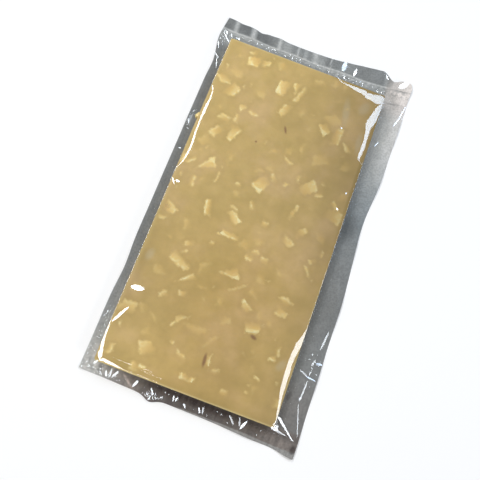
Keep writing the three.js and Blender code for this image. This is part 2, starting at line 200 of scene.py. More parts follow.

# Nuts: place across and along the bar, length, width, turn in degrees and the way that the bright cut side,
# with its painted highlight, faces. Unless as usual, then also how clearly the nut shows, from 1 for one
# sunk in the chocolate to 3 for one at its surface (usually 2), and its number of corners (usually 4).
NUTS = [
    (-26, 77, 3.5, 2, 25, 200), (-24, 73, 6, 5, 100, 225, 3), (-19, 74, 5, 3, 10, 0),
    (-34, 59, 7, 3.5, -15, 250, 2, 5), (-28.5, 55, 6.5, 5, 60, -15), (-7.5, 65, 8.5, 6, 80, 190, 3),
    (-2, 69.5, 8.5, 3, 100, 180, 3, 3), (1, 65, 7.5, 2.5, 72, 200), (-3, 54.5, 7, 4, 65, 180),
    (-21, 48.5, 4.5, 2.5, 60, 250, 3), (-16, 47.5, 5.5, 2.2, -20, 260), (-22, 42.5, 4.2, 2, 95, 180),
    (-27.5, 40.5, 6, 3, -10, 120), (7, 74.5, 4, 3, 20, 90, 1), (17, 52.5, 6, 4.5, -60, 250, 3),
    (19.5, 58, 8, 6, -20, 90, 1, 5), (23.5, 51.5, 9, 3.5, 78, 10), (29.5, 47.5, 4.5, 2.5, -50, 220),
    (-28.5, 32.5, 6, 4, 50, 200), (-21, 35, 8, 4, 73, 300), (-26, 16.5, 7.5, 5.5, 40, 90, 3, 3),
    (-29.5, 6.5, 5, 2, 95, 0), (-20, 12, 7, 0.8, 82, 0), (-33.5, 15.5, 5.5, 1.2, 45, 300),
    (-10.5, 12.5, 2.5, 2.2, 0, 90), (-10, 7.5, 4, 2.2, 30, 60, 1), (-1.3, 5.5, 4.2, 1.8, -65, 200),
    (-1, 16, 8.5, 5, 62, 255, 3), (-8, 1, 3.6, 1.8, -10, 90), (-19, -2.5, 9, 2.7, 102, 190, 3),
    (7, 31, 4.5, 1.7, -27, 60), (19.5, 37.5, 7.5, 5, 30, 240, 1), (3, 21.5, 4.2, 2.2, -60, 150),
    (9, 20, 2.6, 1.4, 45, 0), (13.5, 25, 3.8, 1.3, 95, 0), (18.5, 22.5, 7.5, 6, 45, 45),
    (24.5, 21, 3.6, 2.2, 25, 250), (32.5, 19, 5, 1.6, -50, 0), (34, 14, 7, 5.5, -10, 0),
    (34.5, 24, 5.5, 2.6, 78, 90, 1), (16.5, 9, 7, 1.6, 75, 60), (23, 2, 5.5, 3, 48, 45),
    (-7, -3, 6.5, 3.6, -40, 40, 3), (-6.5, -11, 7.3, 3, -8, 245, 3), (-34, -8.5, 6, 4, -25, 0),
    (-35.5, -14, 4.5, 1.8, 20, 270), (-21, -21, 4.8, 2.2, 20, 210), (-21, -25, 2.2, 1.2, 28, 0),
    (-22, -29, 10.5, 3.8, -27, 250), (-14.5, -34.5, 9, 2.2, 43, 135, 2, 3), (-11.5, -17.5, 2, 2, 0, 90),
    (6.5, -0.5, 2.8, 2.5, 0, 90), (18.5, -4.5, 4.8, 2.8, -35, 0), (34, -4.5, 3.2, 1.5, 95, 0),
    (31, -9, 4.2, 1.5, 35, 200), (30.5, -14, 5, 1.3, -58, 200), (7, -14, 4.2, 2, 22, 90),
    (5, -17.5, 3.2, 2.2, -5, 250, 3), (11.5, -16, 3.8, 2.4, -15, 90), (1, -27, 7.5, 4.8, 12, -60, 3, 3),
    (5.5, -31.5, 8, 1, 35, 125), (11.5, -38, 6, 3, -40, 110, 3), (26, -29.5, 5.5, 3, -20, 90, 2, 5),
    (25.5, -35, 5, 3.8, -15, -60), (-22.5, -45, 3.2, 2.2, 25, 180), (-15.5, -42.5, 3, 2.5, 0, 180),
    (-13, -53.5, 7, 2.8, 65, 260, 3, 3), (-5, -55, 8, 5, 0, 90, 1, 3), (-34, -55.5, 6.5, 6, 0, 90),
    (-21, -68.5, 6.5, 5.5, 20, 165), (-6.5, -66.5, 4.8, 1.6, -25, 90), (-34, -74, 4.2, 2.2, 85, 0),
    (-22.5, -77, 4.5, 3.6, 0, 200), (-19.5, -77, 3, 2.4, 10, 90, 3), (-2.5, -74, 3.5, 3, 0, 200, 3),
    (0.5, -74.5, 3, 2, 15, 0, 3), (17, -45.5, 7.5, 4.8, 25, -75, 3), (5, -46.5, 4.8, 3.2, 15, 0, 1),
    (30, -51.5, 4.5, 1.7, 95, 0), (29, -54.5, 3.2, 2.2, 25, 250, 3), (2.5, -57, 6, 1.8, 60, 120, 1),
    (4.5, -64, 5.5, 1.7, 105, 0, 3, 3), (9, -67.5, 3, 2, 10, 90), (14.5, -74.5, 3, 2.6, 0, 90),
    (25.5, -64.5, 2.4, 1.2, -30, 90, 3), (36, -71, 4.5, 2.5, 95, 0), (-36.8, 15, 4, 2.4, 65, 200),
    (-38.6, 37.2, 3.2, 2.4, 85, 180, 3, 5),
]
# Brown slivers of nut skin, and a speck
SKINS = [(3, -65, 5.5, 1.3, 95), (18.5, -49, 2.8, 1.5, -20), (0.4, 45.5, 3.5, 1, -65), (-10, 34.8, 1, 1, 0)]
# Pale whitish smears over the chocolate: place, length, width, turn
PALE_SMEARS = [
    (23.5, 65, 12, 3, 100), (33.5, 52, 9, 2.5, 95), (33, -56, 5, 3, 60), (-34, -31.5, 5, 3, 80),
    (31, 70, 7, 4, 70),
]
# Faint nuts and crumbs that are strewn: how many, and the shortest and the longest
SCATTERED_NUTS = 34
SCATTERED_CRUMBS = 46
NUT_LENGTHS = (3, 6.5)
CRUMB_LENGTHS = (0.9, 1.9)
CRUMBS_THAT_SHOW = 0.45
SCATTER_TRIES = 3000
NUT_MARGIN = 1.5
FIRST_SEED = 20261
# By its number of corners, how far a nut fills its oval; then, by how clearly it shows, its looks
FULLNESS = {3: 1.35, 4: 1.35, 5: 1.15}
SOFTNESS = {1: 0.9, 2: 0.5, 3: 0.4}
BODY_SHARE = {1: 0.42, 2: 0.66, 3: 0.8}
EDGE_SHARE = {1: 0.2, 2: 0.9, 3: 1.0}
BLUNTNESS = 2.6
# A chip's layers from its foot up: how far inside its outline, and how high over its tilted face
CHIP_LAYERS = [(0.0, -2), (0.15, 0.0), (0.5, 0.06), (1.2, 0.05)]
CHIP_PARTS = 5
CHIP_JITTER = 0.28
CHIP_SUNK = 0.14
CHIP_TILT = 0.22
# The nut that stands out past the bar's left edge, under a tent of film
EDGE_NUT = (-38.9, 37.2)
TENT_RISE = 0.3
TENT_REACH = 1.5
TENT_SLOPE = 3
TENT_STRETCH = 0.75

# Painted reflections of the top band's waves, as light patches across the pouch: where, half as wide, how
# much lighter
TOP_PATCHES = [
    (-38.5, 1.1, 0.26), (-29.8, 1.3, 0.3), (-16.5, 0.9, 0.22), (-12.8, 2.2, 0.12), (-7, 0.5, 0.2),
    (-3.2, 0.8, 0.15), (1.8, 1.6, 0.2), (5.5, 1.6, 0.1), (9.5, 0.25, 0.25), (37.2, 0.8, 0.12),
]
# Tones along the flange, from dark to light, painted reflection and painted shadow over the grey film:
# where, and how light
LEFT_TONES = [
    (-86, 0.92), (-78, 0.87), (-66, 0.78), (-55, 0.69), (-43, 0.63), (-30, 0.59), (62, 0.58), (78, 0.6),
    (86, 0.56),
]
RIGHT_TONES = [
    (-76, 0.53), (-60, 0.56), (-46, 0.56), (-25, 0.54), (4, 0.58), (16, 0.55), (26, 0.62), (40, 0.71),
    (60, 0.76), (76, 0.78), (84, 0.82),
]
BOTTOM_TONES = [
    (-44, 0.88), (-36, 0.81), (-28, 0.72), (-20, 0.62), (-12, 0.43), (4, 0.38), (16, 0.4), (26, 0.46),
    (46, 0.56),
]
BAND_TONES = [
    (-44, 0.53), (-24, 0.51), (-17, 0.6), (0, 0.61), (8, 0.56), (16, 0.61), (26, 0.57), (37, 0.58),
    (41, 0.84), (50, 1.0),
]
SEAL_TONE = 0.86
UNDER_SEAL_TONE = 0.68
STRIP_TONE = 0.66
# How far the top seal bends up: where across, and how far
SEAL_BENDS = [(-46, 0.7), (-38, 0), (-3, -0.5), (12, -0.2), (34, 0.3), (41, 0.8), (50, 2)]
# Lighter and darker marks in the back film, mostly painted glints and shade along its creases: place,
# length, width, turn, how much lighter
TONE_MARKS = [
    (46, -12.5, 26, 0.6, -76, 0.05), (48.9, -85.2, 3.6, 2.2, 80, -0.26), (40.6, -65.5, 4, 1.6, 80, -0.1),
    (-23, -82.7, 7, 1, -38, 0.2), (42.5, 14, 12, 6, 90, -0.07), (44.5, 89, 10, 0.7, 6, -0.13),
    (43.8, 81.8, 8, 0.7, 9, -0.1),
]

# Camera, from the photo's perspective of the bar
CAMERA_PLACE = (1.6, -126.0, 328.0)
CAMERA_RIGHT = (0.9347, 0.3371, 0.1129)
CAMERA_UP = (-0.3554, 0.8794, 0.3167)
CAMERA_BACK = (0.0075, -0.3361, 0.9418)
CAMERA_LENS = 60
CAMERA_SENSOR = 36

# Lamps that hang level over the table: left, right, near and far sides, and how bright
LAMP_HEIGHT = 600
LEFT_LAMP = (-380, -250, -80, 620, 8.6)
RIGHT_LAMP = (250, 470, -80, 240, 4.9)
RIGHT_FAR_LAMP = (250, 470, 240, 620, 5.3)
BACK_LAMP = (60, 400, 620, 820, 4.9)
FRONT_LAMP = (-300, -30, -350, -150, 9)
FAR_RIGHT_LAMP = (700, 1040, -500, -190, 9)
WHITE_LAMPS = [LEFT_LAMP, RIGHT_LAMP, FRONT_LAMP, FAR_RIGHT_LAMP]
COOL_LAMPS = [RIGHT_FAR_LAMP, BACK_LAMP]
COOL_TINT = (0.72, 0.84, 1.0)
ROOM_LIGHT = 0.145


def smooth(value):
    """0 below 0, 1 above 1, and an even rise between."""
    share = np.clip(value, 0, 1)
    return share * share * (3 - 2 * share)


def hump(distance, width):
    return np.exp(-((distance / width) ** 2))


def bulge(bumps, place):
    """How far the bulges and dips of one edge push it out at places along it."""
    return sum(out * hump(place - at, width) for at, out, width in bumps)


def ripple(x, y, seed, length, height, waves=7):
    """A gentle uneven wobble: waves of about one length in drawn directions."""
    draw = np.random.default_rng(seed)
    total = np.zeros_like(x)
    for _ in range(waves):
        angle = draw.uniform(0, 2 * math.pi)
        step = 2 * math.pi / (length * draw.uniform(0.7, 1.5))
        total += np.sin(step * (x * math.cos(angle) + y * math.sin(angle)) + draw.uniform(0, 2 * math.pi))
    return height * total / math.sqrt(waves)


def grain(x, y, seed, cell):
    """Grain from -1 to 1: drawn values on square cells, smoothly joined."""
    values = np.random.default_rng(seed).uniform(-1, 1, (GRAIN_CELLS, GRAIN_CELLS))
    column = x / cell
    row = y / cell
    left = np.floor(column).astype(int)
    low = np.floor(row).astype(int)
    across = smooth(column - left)
    along = smooth(row - low)
    corner = [[values[(left + i) % GRAIN_CELLS, (low + j) % GRAIN_CELLS] for j in (0, 1)] for i in (0, 1)]
    near = corner[0][0] * (1 - across) + corner[1][0] * across
    far = corner[0][1] * (1 - across) + corner[1][1] * across
    return near * (1 - along) + far * along


def patch(x, y, shape, softness):
    """1 inside a turned oval, 0 outside, with a soft edge."""
    at_x, at_y, length, width, turn = shape
    angle = math.radians(turn)
    along = (x - at_x) * math.cos(angle) + (y - at_y) * math.sin(angle)
    across = (y - at_y) * math.cos(angle) - (x - at_x) * math.sin(angle)
    reach = np.hypot(2 * along / length, 2 * across / width)
    return smooth((1 + softness / 2 - reach) / softness)


# Pouch


def bent(x, y):
    """Places on the plain rectangle, moved so that the pouch's edges get their bulges."""
    to_right = smooth((x - RIGHT) / (RIGHT_REACH - RIGHT))
    to_left = smooth((LEFT - x) / (LEFT_REACH + LEFT))
    to_top = smooth((y - TOP) / (TOP_REACH - TOP))
    to_bottom = smooth((BOTTOM - y) / (BOTTOM_REACH + BOTTOM))
    bent_x = x + to_right * bulge(RIGHT_EDGE, y) - to_left * bulge(LEFT_EDGE, y)
    bent_y = y + to_top * bulge(TOP_EDGE, x) - to_bottom * bulge(BOTTOM_EDGE, x)
    return bent_x, bent_y


def down_shoulder(x, y):
    """0 on the bar, 1 at the flange and beyond."""
    across = np.maximum(np.maximum((x - RIGHT) / RIGHT_SHOULDER, (LEFT - x) / LEFT_SHOULDER), 0)
    along = np.maximum(np.maximum((y - TOP) / TOP_SHOULDER, (BOTTOM - y) / BOTTOM_SHOULDER), 0)
    return np.minimum(np.hypot(across, along), 1)


def lift(x, y):
    """How far the back film stands off the table."""
    from_bar = np.hypot(np.maximum(np.abs(x) - RIGHT, 0), np.maximum(np.abs(y) - TOP, 0))
    growth = smooth((from_bar - LEFT_SHOULDER) / WAVE_GROWTH)
    wave_across = np.sin(2 * math.pi * x / WAVE_LENGTH_X + WAVE_SHIFT)
    wave_along = np.sin(2 * math.pi * y / WAVE_LENGTH_Y)
    ear = EAR_LIFT * hump(np.hypot(x - EAR[0], y - EAR[1]), EAR_RADIUS)
    return growth * (WAVE_HEIGHT * (0.5 + 0.5 * wave_across * wave_along) + ear)


def seal_ridges(x, y):
    pair = np.maximum(hump(y - TOP_SEAL, TOP_SEAL_WIDTH), hump(y - TOP_SEAL + TOP_SEAL_GAP, TOP_SEAL_WIDTH))
    return SEAL_HEIGHT * np.maximum(pair, smooth((BOTTOM_SEAL - y) * 3))


def tilt_towards(axis, place, height, lamp):
    """The film's slope along one axis that mirrors the lamp's line at `lamp` on it into the camera."""
    other = 1 - axis
    rise = CAMERA_PLACE[2] - height
    drop = LAMP_HEIGHT - height
    away = [place[0] - CAMERA_PLACE[0], place[1] - CAMERA_PLACE[1]]
    to_camera = np.sqrt(away[0] ** 2 + away[1] ** 2 + rise**2)
    lean = away[other] / to_camera
    to_lamp = np.sqrt(((lamp - place[axis]) ** 2 + drop**2) / (1 - lean**2))
    return ((lamp - place[axis]) / to_lamp - away[axis] / to_camera) / (drop / to_lamp + rise / to_camera)


def roll(inside, axis, place, lamps, streak):
    """How far down the film is at a distance inside one edge, so that the lamp shows as the streak."""
    at, middle, width = np.array(streak).T
    along = place[1 - axis]
    middle = np.interp(along, at, middle)
    width = np.interp(along, at, width)
    first, last = [abs(tilt_towards(axis, place, BAR_THICKNESS + SLACK, lamp)) for lamp in lamps]
    spread = width / (last - first)
    reach = middle + width / 2 + first * spread
    spread = np.maximum(spread, reach**2 / (2 * SLACK))
    drop = reach**2 / (2 * spread)
    return drop / SLACK * np.clip(1 - inside / reach, 0, 1) ** 2


def film_on_bar(x, y):
    """Height of the front film over the bar, and at its nearest edge for places beyond it."""
    x = np.clip(x, LEFT, RIGHT)
    y = np.clip(y, BOTTOM, TOP)
    rolls = [
        roll(RIGHT - x, 0, (RIGHT, y), RIGHT_LAMP[:2], RIGHT_STREAK),
        roll(x - LEFT, 0, (LEFT, y), LEFT_LAMP[1::-1], LEFT_STREAK),
        roll(TOP - y, 1, (x, TOP), BACK_LAMP[2:4], TOP_STREAK),
        roll(y - BOTTOM, 1, (x, BOTTOM), FRONT_LAMP[3:1:-1], BOTTOM_STREAK),
    ]
    return BAR_THICKNESS + FILM_GAP + SLACK * (1 - np.maximum.reduce(rolls))


def film_height(x, y, plain_x, plain_y):
    """The front film: over the bar, down its shoulders in flat panes, then the flange.

    The panes keep to the plain rectangle, so that their folds run straight.
    """
    flange = lift(x, y) + FILM_OVER_BACKING + seal_ridges(x, y)
    out, share = np.array(SHOULDER_PROFILE).T
    shoulder = (film_on_bar(x, y) - flange) * np.interp(down_shoulder(plain_x, plain_y), out, share)
    from_nut = np.hypot(x - EDGE_NUT[0], TENT_STRETCH * (y - EDGE_NUT[1]))
    tent = BAR_THICKNESS + TENT_RISE - TENT_SLOPE * np.maximum(from_nut - TENT_REACH, 0)
    return np.maximum(flange + shoulder, tent) + ripple(x, y, 5, 9, 0.015)


def mirrored(place, slope_x, slope_y):
    """Where the camera looks, on the lamps' level, by way of film with these slopes."""
    view = np.subtract(place, CAMERA_PLACE)
    view = view / np.linalg.norm(view)
    steepness = np.sqrt(slope_x**2 + slope_y**2 + 1)
    normal = [-slope_x / steepness, -slope_y / steepness, 1 / steepness]
    facing = view[0] * normal[0] + view[1] * normal[1] + view[2] * normal[2]
    out = [view[axis] - 2 * facing * normal[axis] for axis in range(3)]
    reach = np.where(out[2] > GRAZING, (LAMP_HEIGHT - place[2]) / np.maximum(out[2], GRAZING), np.inf)
    return place[0] + reach * out[0], place[1] + reach * out[1]


def bright_slope(place, along, across, climb):
    """The least steep slope across a crease with which it shows a lamp, white ones first, and its gloss."""
    slope_x = climb * along[0] + SLOPES * across[0]
    slope_y = climb * along[1] + SLOPES * across[1]
    hit_x, hit_y = mirrored(place, slope_x, slope_y)
    for lamps, gloss in ((WHITE_LAMPS, 1), (COOL_LAMPS, COOL_CREASE_GLOSS)):
        lit = np.zeros(SLOPES.shape, bool)
        for left, right, near, far, _ in lamps:
            lit |= (hit_x > left) & (hit_x < right) & (hit_y > near) & (hit_y < far)
        if lit.any():
            least = SLOPES[lit][np.argmin(np.abs(SLOPES[lit]))]
            return float(np.mean(SLOPES[lit & (np.abs(SLOPES - least) < SLOPE_RANGE)])), gloss
    return PLAIN_SLOPE, 1


def bar_middle():
    """Where the bar's middle lies in the frame: the frame's origin is under the middle of the pouch."""
    low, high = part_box(NODE)
    edge = np.linspace(-TOP_REACH, TOP_REACH, 400)
    left = bent(np.full_like(edge, -LEFT_REACH), edge)[0].min()
    top = bent(edge, np.full_like(edge, TOP_REACH))[1][np.abs(edge) < RIGHT_REACH].max()
    return low.x / MM - left, high.y / MM - top


MIDDLE = bar_middle()


def place(x, y, z):
    """Columns of vertex places in the frame, in metres."""
    columns = [np.ravel(x) + MIDDLE[0], np.ravel(y) + MIDDLE[1], np.ravel(z)]
    return np.stack(columns, axis=1) * MM


def add_object(name, data):
    added = bpy.data.objects.new(name, data)
    bpy.context.scene.collection.objects.link(added)
    return added


def new_piece(name, vertices, faces, material, fields, flat=False):
    """A mesh from vertex places and faces, with its colour fields, on the one body."""
    mesh = bpy.data.meshes.new(name)
    mesh.from_pydata(vertices.tolist(), [], faces)
    mesh.update()
    if flat:
        mesh.shade_flat()
    else:
        mesh.shade_smooth()
    for field, value in fields.items():
        mesh.attributes.new(field, "FLOAT", "POINT").data.foreach_set("value", value.astype(np.float32))
    mesh.materials.append(material)
    piece = add_object(name, mesh)
    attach(piece, "root")
    return piece


def grid_faces(columns, rows):
    """Faces of a grid whose vertices run along each column in turn, facing up."""
    corner = np.arange(columns * rows).reshape(columns, rows)
    low = corner[:-1, :-1]
    faces = np.stack([low, corner[1:, :-1], corner[1:, 1:], corner[:-1, 1:]], axis=-1)
    return faces.reshape(-1, 4).tolist()


def lines(start, *stretches):
    """Grid lines from a start over stretches, each given by its end and its step."""
    parts = []
    for end, step in stretches:
        count = max(1, round((end - start) / step))
        parts.append(np.linspace(start, end, count + 1)[:-1])
        start = end
    return np.concatenate([*parts, [start]])


# Nuts


def as_nut(x, y, length, width, turn, lit, shows=2, corners=4):
    return dict(x=x, y=y, length=length, width=width, turn=turn, lit=lit, shows=shows, corners=corners)


def place_nuts():
    """The nuts that show plainly, then faint ones and crumbs that keep clear of them, by seeded draws."""
    draw = np.random.default_rng(FIRST_SEED)
    nuts = [as_nut(*nut) for nut in NUTS]
    wanted = [NUT_LENGTHS] * SCATTERED_NUTS + [CRUMB_LENGTHS] * SCATTERED_CRUMBS
    for _ in range(SCATTER_TRIES):
        if not wanted:
            break
        length = draw.uniform(*wanted[0])
        x = draw.uniform(LEFT, RIGHT)
        y = draw.uniform(BOTTOM, TOP)
        margin = length / 2 + NUT_MARGIN
        inside = abs(x) < RIGHT - margin and abs(y) < TOP - margin
        near = [math.hypot(n["x"] - x, n["y"] - y) < (n["length"] + length) / 2 for n in nuts]
        if inside and not any(near):
            crumb = wanted.pop(0) == CRUMB_LENGTHS
            shows = 2 if crumb and draw.random() < CRUMBS_THAT_SHOW else 1
            width = length * draw.uniform(0.45, 0.8)
            turn = draw.uniform(0, 180)
            corners = draw.integers(3, 6)
            lit = draw.uniform(150, 330)
            nuts.append(as_nut(x, y, length, width, turn, lit, shows, corners))
    for nut in nuts:
        nut["outline"] = nut_outline(nut, draw)
        nut["strength"] = draw.uniform(0.8, 1.0)
    return nuts


def nut_outline(nut, draw):
    """The corners of the cut nut, in bar coordinates, anticlockwise."""
    corners = int(nut["corners"])
    angle = (np.arange(corners) + 0.5 + draw.uniform(-0.22, 0.22, corners)) / corners * 2 * math.pi
    reach = 0.5 * FULLNESS[corners] * draw.uniform(0.8, 1.12, corners)
    along = nut["length"] * reach * np.cos(angle)
    across = nut["width"] * reach * np.sin(angle)
    turn = math.radians(nut["turn"])
    x = nut["x"] + along * math.cos(turn) - across * math.sin(turn)
    y = nut["y"] + along * math.sin(turn) + across * math.cos(turn)
    return np.stack([x, y], axis=1)


PLACED_NUTS = place_nuts()


def bright_side(nut):
    angle = math.radians(nut["lit"])
    return np.array([math.cos(angle), math.sin(angle)])


def outward_sides(outline):
    """Each side of an outline: where it starts and its outward direction."""
    sides = []
    for start, end in zip(outline, np.roll(outline, -1, axis=0)):
        along = (end - start) / np.linalg.norm(end - start)
        sides.append((start, np.array([along[1], -along[0]])))
    return sides


def facing_of(nut, x, y):
    """From 1 at the side of a nut that is cut open to about -1 at the side that is sunk."""
    side = bright_side(nut)
    far = max((nut["outline"] - [nut["x"], nut["y"]]) @ side)
    return ((x - nut["x"]) * side[0] + (y - nut["y"]) * side[1]) / far


def glow_of(nut, x, y):
    """How bright a nut is over its face."""
    return smooth(0.35 + 0.65 * facing_of(nut, x, y))


def nut_fields(x, y):
    """How much nut shows at each place of the slab's top: its body, its bright cut side with a painted
    highlight along its edges there, and a painted shadow round it.
    """
    wobble = ripple(x, y, 11, 2.8, 0.26) + ripple(x, y, 12, 1.2, 0.16)
    blotches = 0.7 + 0.3 * grain(x, y, 13, 0.9)
    body = np.zeros_like(x)
    edge = np.zeros_like(x)
    shade = np.zeros_like(x)
    for nut in PLACED_NUTS:
        near = np.hypot(x - nut["x"], y - nut["y"]) < nut["length"] * 0.7 + 2.5
        near_x = x[near]
        near_y = y[near]
        outside = np.zeros_like(near_x)
        rim = np.zeros_like(near_x)
        for start, outward in outward_sides(nut["outline"]):
            depth = (start[0] - near_x) * outward[0] + (start[1] - near_y) * outward[1]
            outside += np.exp(-BLUNTNESS * depth)
            # A painted highlight along the sides that face the bright side
            rim = np.maximum(rim, smooth(outward @ bright_side(nut) * 1.3) * hump(depth - 0.4, 0.6))
        inside = -np.log(outside) / BLUNTNESS + wobble[near]
        solid = smooth(0.8 + 0.7 * facing_of(nut, near_x, near_y))
        mask = smooth(inside / (SOFTNESS[nut["shows"]] * (2.2 - 1.2 * solid)) / 2 + 0.5)
        bright = np.maximum(0.8 * glow_of(nut, near_x, near_y), rim) * blotches[near]
        gain = EDGE_SHARE[nut["shows"]] * nut["strength"]
        share = BODY_SHARE[nut["shows"]] * (0.35 + 0.65 * solid) * nut["strength"]
        body[near] = np.maximum(body[near], mask * share)
        edge[near] = np.maximum(edge[near], mask * bright * gain)
        # A painted shadow in a ring just outside the nut
        shade[near] = np.maximum(shade[near], hump(inside + 0.9, 0.7) * (1 - mask) * gain)
    return body, edge, shade


# Materials


class Shader:
    """A material under construction: adds nodes and links them."""

    def __init__(self, name):
        self.material = bpy.data.materials.new(name)
        self.material.use_nodes = True
        self.tree = self.material.node_tree
        self.tree.nodes.clear()
        self.output = self.add("ShaderNodeOutputMaterial")

    def set(self, node, socket, value):
        if isinstance(value, bpy.types.NodeSocket):
            self.tree.links.new(value, node.inputs[socket])
        else:
            node.inputs[socket].default_value = value

    def add(self, kind, inputs=None, **settings):
        node = self.tree.nodes.new(kind)
        for name, value in settings.items():
            setattr(node, name, value)
        for socket, value in (inputs or {}).items():
            self.set(node, socket, value)
        return node

    def field(self, name):
        return self.add("ShaderNodeAttribute", attribute_name=name).outputs["Fac"]

    def noise(self, scale, detail=3.0, roughness=0.5):
        spot = self.add("ShaderNodeTexCoord").outputs["Object"]
        inputs = {"Vector": spot, "Scale": scale, "Detail": detail, "Roughness": roughness}
        return self.add("ShaderNodeTexNoise", inputs).outputs["Fac"]

    def ramp(self, value, stops):
        """A colour that runs through stops of (value, sRGB colour)."""
        node = self.add("ShaderNodeValToRGB", {"Fac": value})
        elements = node.color_ramp.elements
        while len(elements) < len(stops):
            elements.new(1.0)
        for element, (position, colour) in zip(elements, stops):
            element.position = position
            element.color = linear(colour)
        return node.outputs["Color"]

    def mix(self, share, first, second, blend="MIX"):
        """Two colours, sockets or sRGB values, mixed by a share."""
        node = self.add("ShaderNodeMix", data_type="RGBA", blend_type=blend)
        self.set(node, 0, share)
        self.set(node, 6, first if isinstance(first, bpy.types.NodeSocket) else linear(first))
        self.set(node, 7, second if isinstance(second, bpy.types.NodeSocket) else linear(second))
        return node.outputs[2]

    def product(self, first, second):
        return self.add("ShaderNodeMath", {0: first, 1: second}, operation="MULTIPLY").outputs[0]

    def bump(self, height, distance):
        return self.add("ShaderNodeBump", {"Height": height, "Distance": distance}).outputs["Normal"]

    def finish(self, surface):
        self.tree.links.new(surface, self.output.inputs["Surface"])
        return self.material

    def waxy(self, colour, roughness, grain_scale, grain_height, subsurface=0.0):
        """A plain surface with fine grain."""
        surface = self.add("ShaderNodeBsdfPrincipled", {"Base Color": colour, "Roughness": roughness})
        self.set(surface, "Specular IOR Level", 0.3)
        self.set(surface, "Subsurface Weight", subsurface)
        self.set(surface, "Subsurface Radius", (0.004, 0.0025, 0.001))
        self.set(surface, "Subsurface Scale", 0.5)
        self.set(surface, "Normal", self.bump(self.noise(grain_scale), grain_height))
        return self.finish(surface.outputs[0])


def linear(colour):
    """An sRGB colour of 0 to 255 as linear values with full alpha."""
    shares = [value / 255 for value in colour]
    return (*[s / 12.92 if s <= 0.04045 else ((s + 0.055) / 1.055) ** 2.4 for s in shares], 1.0)


def chocolate_material():
    """Waxy pale caramel, clouded pinkish to olive, with the nuts that lie in it."""
    shader = Shader("chocolate")
    clouds = shader.noise(60, 3, 0.55)
    base = shader.ramp(clouds, [(0.3, (203, 174, 104)), (0.5, (211, 180, 112)), (0.7, (221, 188, 129))])
    mottle = shader.ramp(shader.noise(170, 2, 0.5), [(0.35, (240, 240, 236)), (0.65, (255, 255, 255))])
    base = shader.mix(0.7, base, mottle, "MULTIPLY")
    base = shader.mix(shader.product(shader.noise(900, 2), 0.12), base, (150, 128, 66))
    base = shader.mix(shader.field("pale_smear"), base, (214, 202, 170))
    base = shader.mix(shader.field("ochre"), base, (255, 250, 236), "MULTIPLY")
    nut_body = shader.ramp(shader.noise(180, 2), [(0.35, (240, 197, 112)), (0.65, (245, 210, 132))])
    base = shader.mix(shader.field("nut_body"), base, nut_body)
    nut_edge_and_highlight = shader.ramp(shader.noise(700, 2), [(0.35, (255, 226, 142)), (0.65, (255, 246, 190))])
    base = shader.mix(shader.field("nut_edge_and_highlight"), base, nut_edge_and_highlight)
    # Brown nut skin, and the painted shadow round each nut
    skin_and_painted_shade = {"nut_shade": (150, 118, 62), "skin": (132, 88, 56)}
    # Painted highlight and painted shade along the bar's edges
    rim_highlight_and_shade = {"rim_painted_highlight": (232, 214, 156), "rim_painted_shade": (164, 138, 64)}
    for field, colour in (skin_and_painted_shade | rim_highlight_and_shade).items():
        base = shader.mix(shader.field(field), base, colour)
    base = shader.mix(shader.field("shade"), base, SHADE_COLOUR, "MULTIPLY")
    return shader.waxy(base, 0.55, 1400, 0.00003, 0.1)


def nut_material():
    """Cut nut: cream at its bright edges, tan between them."""
    shader = Shader("nut")
    tan = shader.ramp(shader.noise(300), [(0.3, (236, 196, 112)), (0.6, (243, 210, 134))])
    cream = shader.ramp(shader.noise(650), [(0.3, (255, 226, 142)), (0.6, (255, 246, 190))])
    base = shader.mix(shader.field("bright"), tan, cream)
    base = shader.mix(shader.field("shade"), base, SHADE_COLOUR, "MULTIPLY")
    return shader.waxy(base, 0.6, 1500, 0.00006)


def film_material():
    """Clear film that mirrors by its gloss field from the front, and lets all light through from behind."""
    shader = Shader("film")
    wrinkles = shader.bump(shader.noise(160, 2), 0.00004)
    looks = {"Color": GLOSS_TINT, "Roughness": FILM_ROUGHNESS, "Normal": wrinkles}
    gloss = shader.add("ShaderNodeBsdfGlossy", looks)
    clear = shader.add("ShaderNodeBsdfTransparent")
    fresnel = shader.add("ShaderNodeFresnel", {"IOR": FILM_IOR}).outputs[0]
    share = shader.product(fresnel, shader.field("gloss"))
    front = shader.add("ShaderNodeMixShader", {0: share, 1: clear.outputs[0], 2: gloss.outputs[0]})
    behind = shader.add("ShaderNodeNewGeometry").outputs["Backfacing"]
    both = shader.add("ShaderNodeMixShader", {0: behind, 1: front.outputs[0], 2: clear.outputs[0]})
    return shader.finish(both.outputs[0])


def backing_material():
    """Grey satin back film, lighter and darker, cooler and warmer by its fields, which hold painted
    reflections and painted shadow.
    """
    shader = Shader("backing")
    greys = [(26, 22, 23), (68, 63, 62), (112, 114, 113), (166, 168, 166), (236, 234, 230)]
    stops = [(step / 4, grey) for step, grey in enumerate(greys)]
    base = shader.ramp(shader.field("tone"), stops)
    base = shader.mix(shader.field("cool"), base, (240, 248, 255), "MULTIPLY")
    base = shader.mix(shader.field("warm"), base, (255, 234, 224), "MULTIPLY")
    speckle = shader.ramp(shader.noise(1300, 2), [(0.42, (255, 255, 255)), (0.62, (214, 214, 214))])
    base = shader.mix(0.6, base, speckle, "MULTIPLY")
    return shader.waxy(base, 0.5, 900, 0.00002)


def floor_material():
    shader = Shader("floor")
    base = shader.ramp(shader.noise(3, 2), [(0.3, (247, 247, 247)), (0.7, (250, 250, 250))])
    return shader.waxy(base, 0.8, 40, 0.0001)


# Pieces


